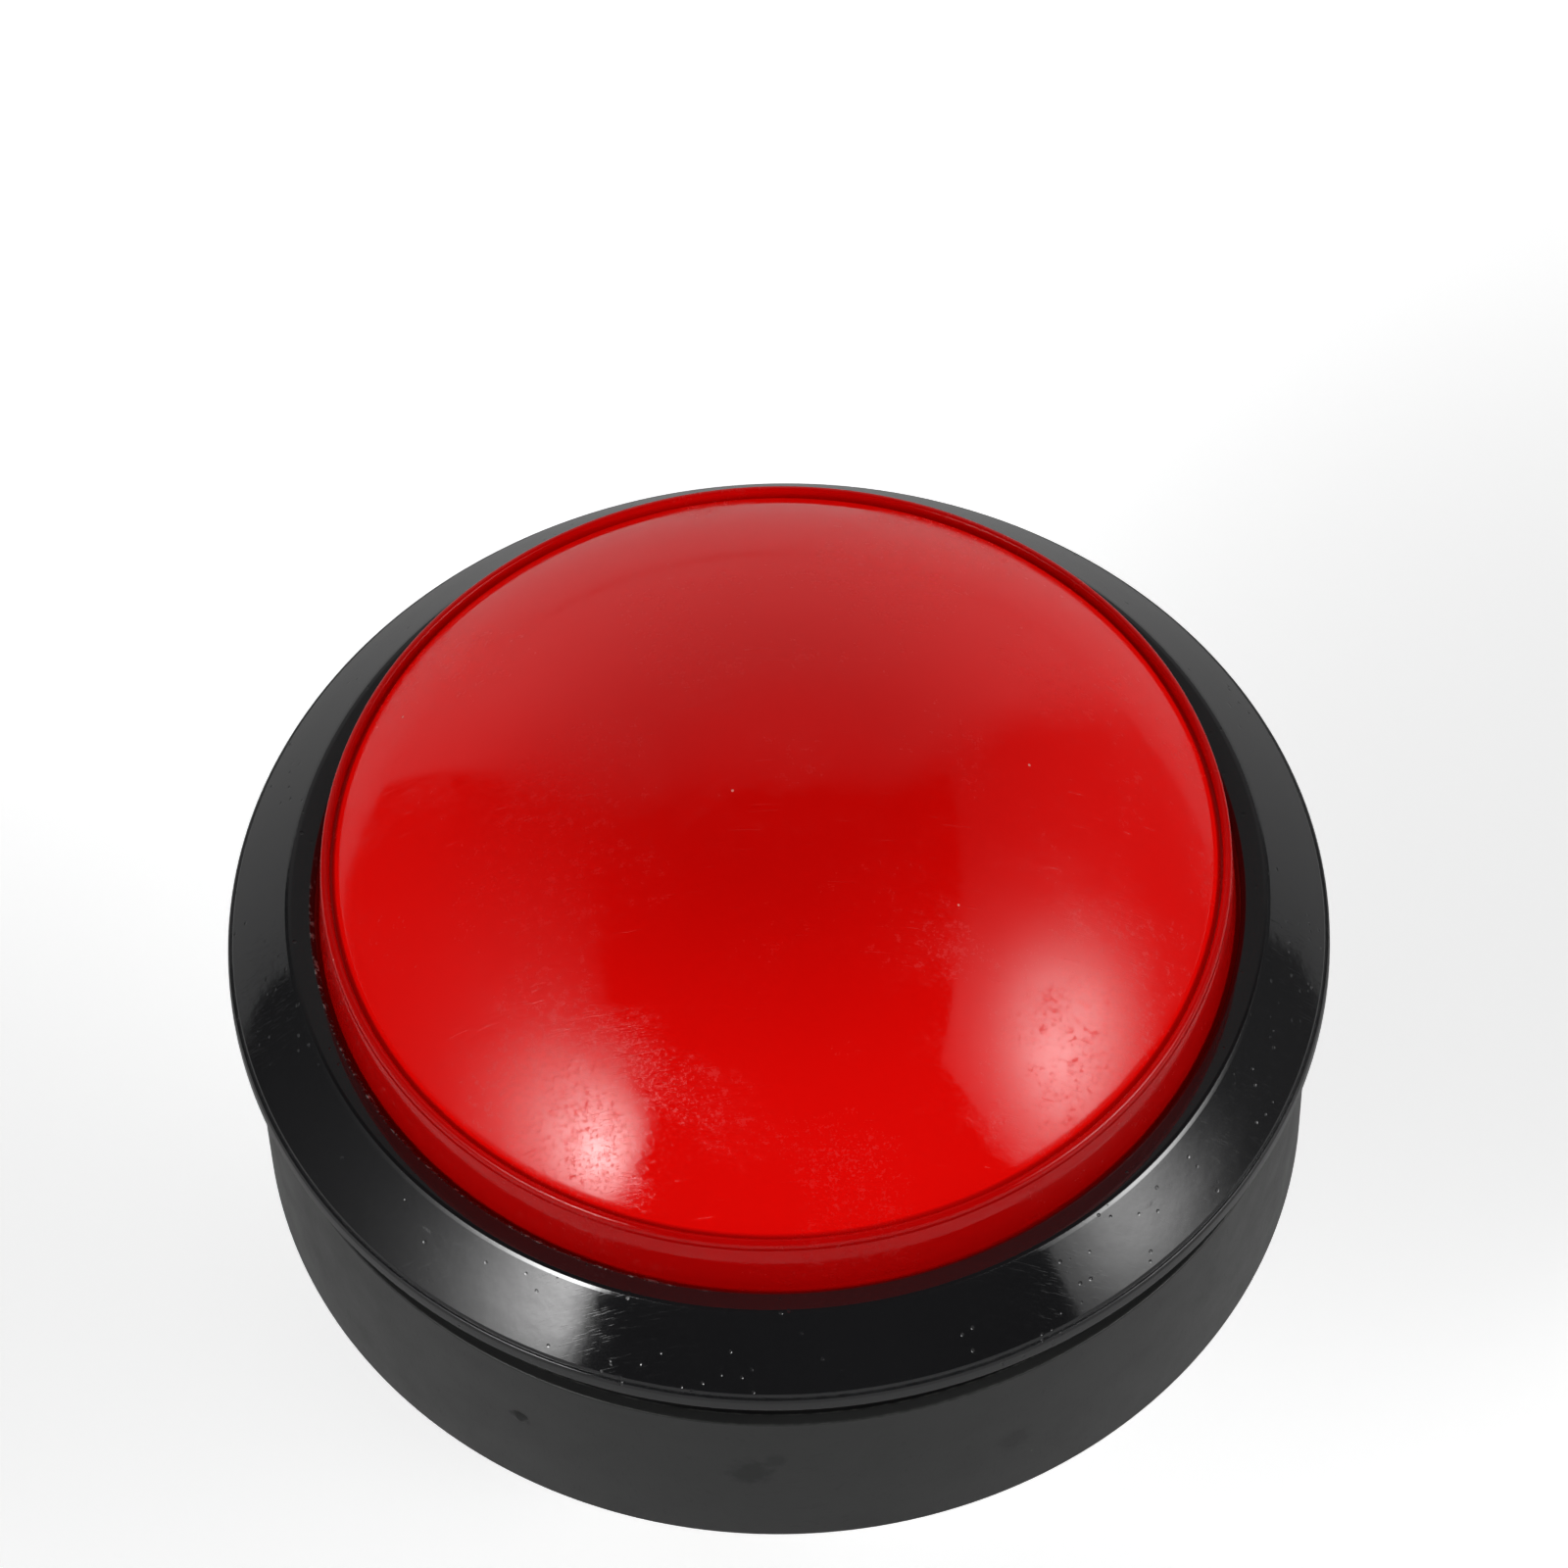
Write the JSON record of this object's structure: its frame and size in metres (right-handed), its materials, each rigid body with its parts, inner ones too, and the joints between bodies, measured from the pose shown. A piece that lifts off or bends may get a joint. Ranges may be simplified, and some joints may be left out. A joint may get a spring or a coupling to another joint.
{
  "type": "quiz buzzer",
  "caption": "Large domed push button buzzer: red lens dome in a black ring and round base, with a threaded panel neck, lamp holder and snap-action switch underneath.",
  "frame": {"origin": "centre of the plane in which the base sits on its panel, on the press axis", "axes": "+Z out of the panel along the press axis, -Y the front, +Y the side the microswitch's long end points to"},
  "size_m": [0.1, 0.1, 0.1092],
  "materials": {
    "black_gloss": "glossy black ABS with fine scuffs",
    "black_satin": "satin black moulded ABS",
    "red_lens": "glossy translucent red acrylic",
    "red_skirt": "glossy translucent red acrylic, darker in section",
    "white_nylon": "milky natural nylon, satin",
    "steel_spring": "bright drawn spring wire",
    "screw_steel": "zinc-plated steel",
    "nut_black": "moulded black nylon",
    "contact_steel": "rolled grey spring steel, satin",
    "lamp_red": "satin red moulded plastic",
    "led_clear": "clear epoxy",
    "lead_wire": "tinned wire",
    "switch_black": "fine-grained black phenolic, slight sheen",
    "switch_tan": "ochre phenolic moulding",
    "button_black": "smooth black plastic",
    "tab_silver": "silver-plated brass, speckled",
    "blade_copper": "beryllium copper strip",
    "contact_silver": "silver rivets"
  },
  "bodies": {
    "housing": {"base_shell": "black_satin", "bezel_ring": "black_gloss", "bezel_screws": "screw_steel", "return_spring": "steel_spring"},
    "dome": {"dome_cap": "red_lens", "dome_skirt": "red_skirt", "plunger_carrier": "white_nylon"},
    "nut": {"mounting_nut": "nut_black"},
    "lamp_switch_unit": {"lamp_holder": "white_nylon", "lamp_contact_front": "contact_steel", "lamp_contact_rear": "contact_steel", "lamp_body": "lamp_red", "lamp_led": "led_clear", "lamp_leads": "lead_wire", "switch_cover": "switch_black", "switch_base": "switch_tan", "switch_com_terminal": "tab_silver", "switch_no_terminal": "tab_silver", "switch_snap_blade": "blade_copper", "switch_contacts": "contact_silver"},
    "actuator": {"switch_button": "button_black"}
  },
  "joints": [
    {"name": "dome_press", "type": "slide", "parent": "housing", "child": "dome", "axis": [0, 0, -1], "range_m": [0, 0.0042], "stiffness_N_per_m": 300, "springref_m": -0.008, "deforming": ["return_spring"]},
    {"name": "nut_travel", "type": "slide", "parent": "housing", "child": "nut", "axis": [0, 0, -1], "range_m": [-0.0096, 0.0092]},
    {"name": "holder_twist", "type": "hinge", "parent": "housing", "child": "lamp_switch_unit", "pos_m": [0, 0, -0.0268], "axis": [0, 0, 1], "range_deg": [0, 25]},
    {"name": "switch_press", "type": "slide", "parent": "lamp_switch_unit", "child": "actuator", "axis": [0, 0, -1], "range_m": [0, 0.0014]}
  ],
  "couplings": [
    {"joint": "switch_press", "follows": "dome_press", "ratio": 0.3}
  ]
}
